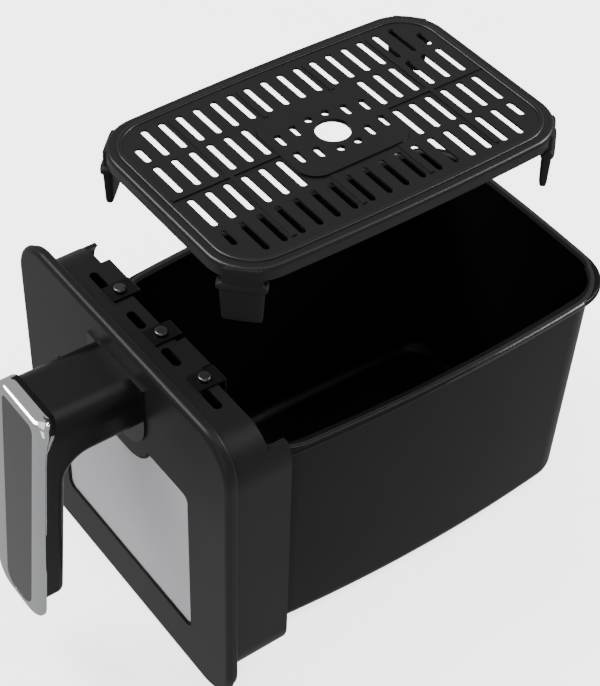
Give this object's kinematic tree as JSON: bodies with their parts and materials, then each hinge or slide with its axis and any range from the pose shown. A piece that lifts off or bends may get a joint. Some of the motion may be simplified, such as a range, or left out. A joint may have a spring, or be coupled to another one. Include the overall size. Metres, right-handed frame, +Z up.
{
  "type": "air fryer drawer with crisper plate",
  "caption": "Air fryer drawer: deep coated pan, windowed front cover with an upright chrome-trimmed handle, and a slotted crisper plate that lifts out.",
  "frame": {"origin": "under the middle of the part, on the surface it stands on", "axes": "+X to the right seen from the front, +Y from the handle to the back of the pan, +Z up"},
  "size_m": [0.198, 0.3484, 0.2708],
  "materials": {
    "pan_coating": "matte non-stick coating",
    "silicone": "matte silicone",
    "clear_glass": "clear",
    "smoked_glass": "smoked, satin",
    "sheet_steel": "satin sheet",
    "screw_steel": "bright",
    "grey_housing": "satin dark grey",
    "black_handle": "satin black",
    "chrome_trim": "polished",
    "gloss_insert": "glossy dark grey",
    "plate_coating": "satin non-stick coating"
  },
  "bodies": {
    "drawer": {"back_plate": "sheet_steel", "back_plate_screws": "screw_steel", "cover_screws": "screw_steel", "front_cover": "grey_housing", "handle_bezel": "chrome_trim", "handle_body": "black_handle", "handle_collar": "black_handle", "handle_core": "sheet_steel", "handle_insert": "gloss_insert", "handle_screws": "screw_steel", "hook_screws": "screw_steel", "pan": "pan_coating", "pan_hook_left": "sheet_steel", "pan_hook_middle": "sheet_steel", "pan_hook_right": "sheet_steel", "pan_spacers": "sheet_steel", "pan_window_frame": "sheet_steel", "pan_window_glass": "clear_glass", "pan_window_rivets": "screw_steel", "pan_window_seal": "silicone", "rear_frame": "grey_housing", "window_clamp": "sheet_steel", "window_clamp_screws": "screw_steel", "window_glass": "smoked_glass", "window_seal": "silicone"},
    "plate": {"crisper_plate": "plate_coating", "bumper_front_left": "silicone", "bumper_front_right": "silicone", "bumper_rear_left": "silicone", "bumper_rear_right": "silicone"}
  },
  "joints": [
    {"name": "plate_lift", "type": "slide", "parent": "drawer", "child": "plate", "axis": [0.0174, 0.1047, -0.9943], "range_m": [0, 0.2301]}
  ]
}
